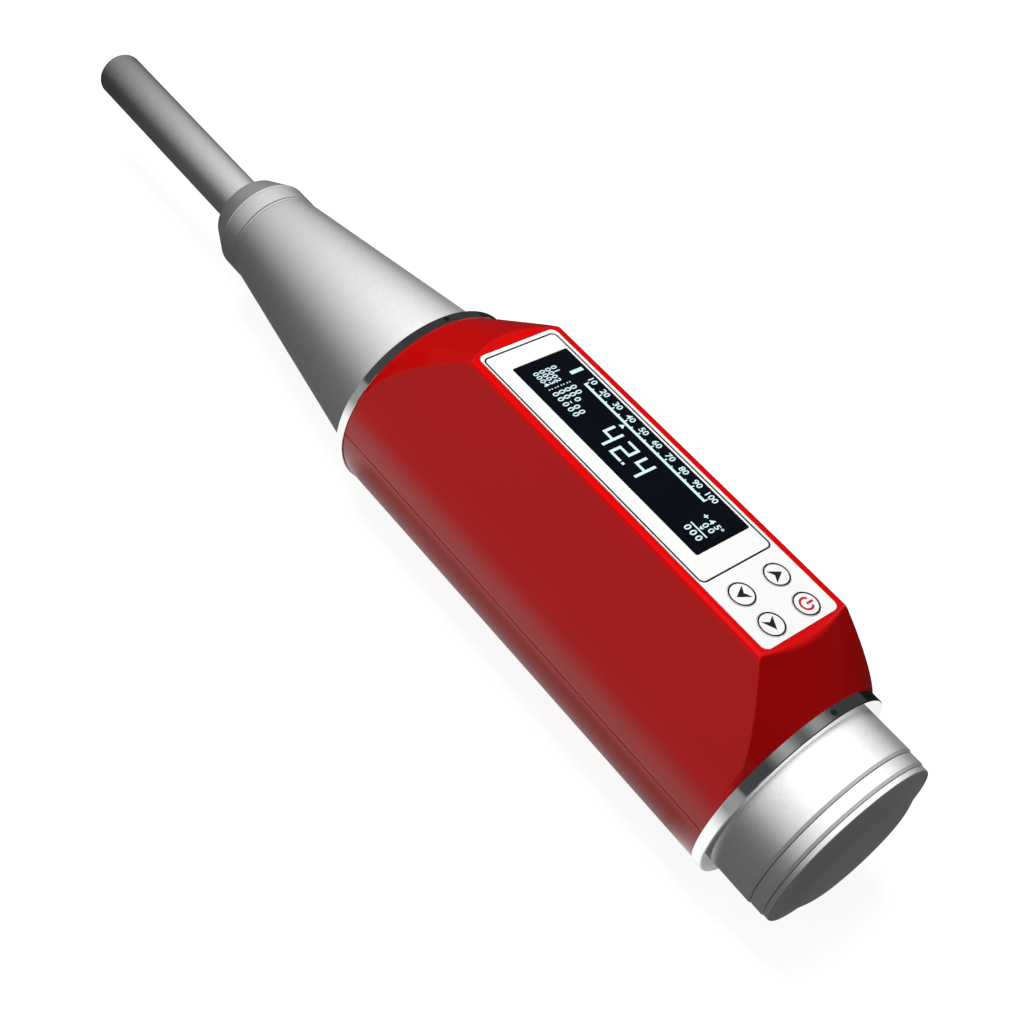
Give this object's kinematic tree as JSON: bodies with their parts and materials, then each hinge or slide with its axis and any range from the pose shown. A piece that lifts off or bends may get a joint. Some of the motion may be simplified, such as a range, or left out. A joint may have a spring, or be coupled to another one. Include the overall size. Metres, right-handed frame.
{
  "type": "concrete test hammer",
  "caption": "Rebound hammer for testing concrete: a sliding impact plunger in a turned cone, a red housing with a flat display panel and keys, two clamp rings and a turned rear cap.",
  "frame": {"origin": "middle of the overall box in x and y, at the level of the lowest points of the two rings", "axes": "+Y along the tool's axis towards the plunger's tip, +Z out of the display panel, +X to the right seen from the rear"},
  "size_m": [0.0612, 0.3486, 0.0746],
  "materials": {
    "red_plastic": "moulded red plastic with a soft gloss",
    "satin_alloy": "bead-blasted satin",
    "bright_ring": "polished",
    "plunger_steel": "ground steel",
    "dark_end": "dark anodised, satin",
    "black_steel": "blackened",
    "inner_steel": "turned steel",
    "spring_steel": "oiled spring wire",
    "panel_white": "printed film",
    "display_glass": "dark clear window",
    "display_black": "display panel",
    "key_white": "printed key",
    "board_green": "circuit board",
    "battery_wrap": "shrink wrap",
    "switch_black": "moulded",
    "rider_black": "moulded",
    "ribbon_amber": "flexible circuit",
    "friction_rubber": "soft rubber",
    "felt": "pressed felt",
    "button_black": "moulded black plastic"
  },
  "bodies": {
    "body": {"housing_upper_shell": "red_plastic", "housing_lower_shell": "red_plastic", "barrel_tube": "satin_alloy", "rear_ring": "bright_ring", "front_ring": "bright_ring", "ring_set_screws": "black_steel", "shell_screws": "black_steel", "rear_cap": "satin_alloy", "cap_band": "satin_alloy", "end_cap": "dark_end", "trip_screw": "inner_steel", "trip_lock_nut": "inner_steel", "front_cone": "satin_alloy", "nose_cap": "satin_alloy", "felt_washer": "felt", "split_ring": "inner_steel", "guide_sleeve": "inner_steel", "impact_spring": "spring_steel", "return_spring": "spring_steel", "rider_rod": "inner_steel", "keypad_overlay": "panel_white", "display_window": "display_glass", "display_module": "display_black", "main_board": "board_green", "board_screws": "inner_steel", "key_switches": "switch_black", "battery_pack": "battery_wrap", "position_sensor": "board_green", "sensor_ribbon": "ribbon_amber", "button_spring": "spring_steel"},
    "plunger_group": {"plunger": "plunger_steel", "buffer_spring": "spring_steel", "guide_bar": "inner_steel", "guide_disc": "inner_steel", "guide_bar_nut": "inner_steel", "pawl_pin": "inner_steel", "pawl_spring": "spring_steel"},
    "pawl": {"pawl": "inner_steel"},
    "hammer": {"hammer_mass": "inner_steel"},
    "rider": {"rider": "rider_black", "rider_friction_ring": "friction_rubber"},
    "lock_button": {"lock_button": "button_black"},
    "key_up": {"key_up": "key_white"},
    "key_down": {"key_down": "key_white"},
    "key_next": {"key_next": "key_white"},
    "key_power": {"key_power": "key_white"}
  },
  "joints": [
    {"name": "plunger_slide", "type": "slide", "parent": "body", "child": "plunger_group", "axis": [0, -1, 0], "range_m": [0, 0.075], "stiffness_N_per_m": 150, "springref_m": -0.03, "deforming": ["return_spring", "impact_spring"]},
    {"name": "hammer_slide", "type": "slide", "parent": "plunger_group", "child": "hammer", "axis": [0, 1, 0], "range_m": [0, 0.075], "stiffness_N_per_m": 785, "deforming": ["impact_spring"]},
    {"name": "pawl_hinge", "type": "hinge", "parent": "plunger_group", "child": "pawl", "pos_m": [0, -0.0703, 0.0146], "axis": [-1, 0, 0], "range_deg": [-10, 0], "stiffness_Nm_per_rad": 0.02, "springref_deg": -11.46, "deforming": ["pawl_spring"]},
    {"name": "rider_slide", "type": "slide", "parent": "body", "child": "rider", "axis": [0, -1, 0], "range_m": [0, 0.075]},
    {"name": "lock_button_press", "type": "slide", "parent": "body", "child": "lock_button", "axis": [-0.8192, 0, 0.5736], "range_m": [0, 0.0022], "stiffness_N_per_m": 400, "springref_m": -0.002, "deforming": ["button_spring"]},
    {"name": "key_up_press", "type": "slide", "parent": "body", "child": "key_up", "axis": [0, 0, -1], "range_m": [0, 0.0005], "stiffness_N_per_m": 300, "springref_m": -0.0005},
    {"name": "key_down_press", "type": "slide", "parent": "body", "child": "key_down", "axis": [0, 0, -1], "range_m": [0, 0.0005], "stiffness_N_per_m": 300, "springref_m": -0.0005},
    {"name": "key_next_press", "type": "slide", "parent": "body", "child": "key_next", "axis": [0, 0, -1], "range_m": [0, 0.0005], "stiffness_N_per_m": 300, "springref_m": -0.0005},
    {"name": "key_power_press", "type": "slide", "parent": "body", "child": "key_power", "axis": [0, 0, -1], "range_m": [0, 0.0005], "stiffness_N_per_m": 300, "springref_m": -0.0005}
  ]
}
